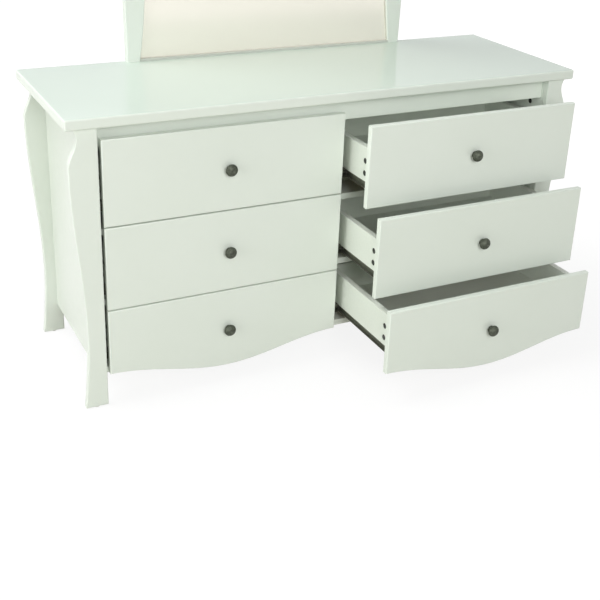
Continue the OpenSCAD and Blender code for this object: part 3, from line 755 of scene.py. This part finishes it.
def makeDrawerCams(name):
    # Cam locks, sunk a little into the outer faces of the drawer's sides
    low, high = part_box(f"{name}_sides")
    part = camPart(cam["drawerDepth"])
    inside = Matrix.Translation(((cam["drawerSink"] + cam["drawerDepth"]) * mm, 0, 0)) @ alongX.inverted()
    bm = bmesh.new()
    for x, way in ((low.x, 1.0), (high.x, -1.0)):
        for y, z in cam["places"]:
            addPart(bm, part, besideWall(x, way, low.y + y * mm, low.z + z * mm) @ inside)
    finishPiece(bm, f"{name}_cams", camHoleShadeZinc, f"{name}_drawer", (f"{name}_runners",),
                weighted=False)


def makePanelCams():
    # Cam locks in the cabinet's side boards, facing the drawers
    low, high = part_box("cam_locks")
    part = camPart(cam["panelDepth"])
    reach = cam["radius"] * mm
    bm = bmesh.new()
    for x, way in ((low.x, -1.0), (high.x, 1.0)):
        for y in (low.y + reach, high.y - reach):
            for row in rows:
                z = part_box(f"left_{row}_sides")[0].z + cam["panelRise"] * mm
                addPart(bm, part, besideWall(x, way, y, z) @ alongX.inverted())
    finishPiece(bm, "side_board_cams", camHoleShadeZinc, "cabinet", ("cam_locks",), weighted=False)


for name in drawers:
    makeFront(name)
    makeDrawerBox(name)
    makeKnob(name)
    makeSlides(name)
    makeDrawerCams(name)
makeTableTop()
makeCabinetBoards()
makePanelCams()
for bay in bays:
    makeTracks(bay)
print("cabinet and drawers made")


# Mirror frame: its front edges are eased, but not where the posts meet the crest or stand on the top, nor
# the sill's lowest edge. The posts are found beyond this share of half the crest's width
mirrorFrame = {"edge": 3.0 * mm, "steps": 5, "sillEdge": 0.5 * mm, "sillSteps": 2, "sillFrom": 1.0 * mm,
               "postFrom": 0.8}


def makeMirror():
    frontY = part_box("mirror_crest")[0].y
    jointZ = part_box("mirror_left_post")[1].z
    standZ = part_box("mirror_left_post")[0].z
    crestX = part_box("mirror_crest")[1].x

    def onFront(edge):
        a, b = edge.verts[0].co, edge.verts[1].co
        near = limits["near"]
        front = abs(a.y - frontY) < near and abs(b.y - frontY) < near
        onPost = abs(a.x) > mirrorFrame["postFrom"] * crestX
        joint = onPost and any(abs(a.z - z) < near and abs(b.z - z) < near for z in (jointZ, standZ))
        return front and not joint

    for nodeName in ("mirror_left_post", "mirror_right_post", "mirror_crest"):
        easedBoard(nodeName, lacquer, mirrorFrame["edge"], mirrorFrame["steps"], onFront)
    lowest = standZ + mirrorFrame["sillFrom"]
    easedBoard("mirror_sill", sillShadeLacquer, mirrorFrame["sillEdge"], mirrorFrame["sillSteps"],
               everyVertex(lambda p: abs(p.y - frontY) < limits["near"] and p.z > lowest))
    for nodeName, material in (("mirror_glass", mirrorGlass), ("mirror_backing", hardboard)):
        nodes[nodeName].data.materials.clear()
        nodes[nodeName].data.materials.append(material)


# Steel plates behind the mirror: rounded corners, eased edges and three screws each
plate = {"width": 24.0 * mm, "thick": 2.5 * mm, "corner": 4.0 * mm, "cornerSteps": 8, "edge": 0.4 * mm,
         "edgeSteps": 2, "headHeight": 2.5 * mm, "headSteps": 32,
         "screwHeights": (8.0 * mm, 45.0 * mm, 69.0 * mm), "cross": (2.4, 0.45, 1.2),
         "screw": ((0.0, 0.0), (4.0, 0.0), (4.0, 0.5), (3.7, 1.4), (2.9, 2.2), (2.6, 2.5), (0.0, 2.5))}


def makePlates():
    low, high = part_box("mirror_plates")
    head = turnedPart(plate["screw"], plate["headSteps"])
    arm, half, sink = plate["cross"]
    sinkCross(head, plate["headHeight"], arm * mm, half * mm, sink * mm)
    size = Vector((plate["width"], plate["thick"], high.z - low.z))
    face = high.y - plate["headHeight"]
    bm = bmesh.new()
    for side in (-1.0, 1.0):
        x = side * (high.x - plate["width"] / 2)
        part = bmesh.new()
        bmesh.ops.create_cube(part, size=1.0)
        bmesh.ops.scale(part, vec=size, verts=part.verts)
        corners = [edge for edge in part.edges
                   if abs(edge.verts[0].co.y - edge.verts[1].co.y) > limits["near"]]
        bmesh.ops.bevel(part, geom=corners, offset=plate["corner"], segments=plate["cornerSteps"],
                        profile=0.5, affect="EDGES", material=-1)
        easeEdges(part, plate["edge"], plate["edgeSteps"],
                  everyVertex(lambda p: p.y > plate["thick"] / 2 - limits["near"]))
        addPart(bm, part, Matrix.Translation((x, face - plate["thick"] / 2, (low.z + high.z) / 2)))
        for height in plate["screwHeights"]:
            addPart(bm, head, Matrix.Translation((x, face, low.z + height)) @ alongBack)
    finishPiece(bm, "mirror_plates_screwed", zinc, "cabinet", ("mirror_plates",))


# Foot glides: pale plastic buttons with a rounded lower edge
glide = {"profile": ((0.0, 0.0), (5.6, 0.0), (6.4, 0.3), (6.9, 0.9), (7.0, 1.6), (7.0, 3.0), (0.0, 3.0)),
         "radius": 7.0 * mm, "steps": 40}


def makeGlides():
    low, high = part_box("foot_glides")
    button = turnedPart(glide["profile"], glide["steps"])
    reach = glide["radius"]
    bm = bmesh.new()
    for x in (low.x + reach, high.x - reach):
        for y in (low.y + reach, high.y - reach):
            addPart(bm, button, Matrix.Translation((x, y, low.z)))
    finishPiece(bm, "foot_glide_buttons", nylon, "cabinet", ("foot_glides",))


makeMirror()
makePlates()
makeGlides()
print("mirror, plates and glides made")

bpy.context.scene.view_settings.view_transform = "Standard"
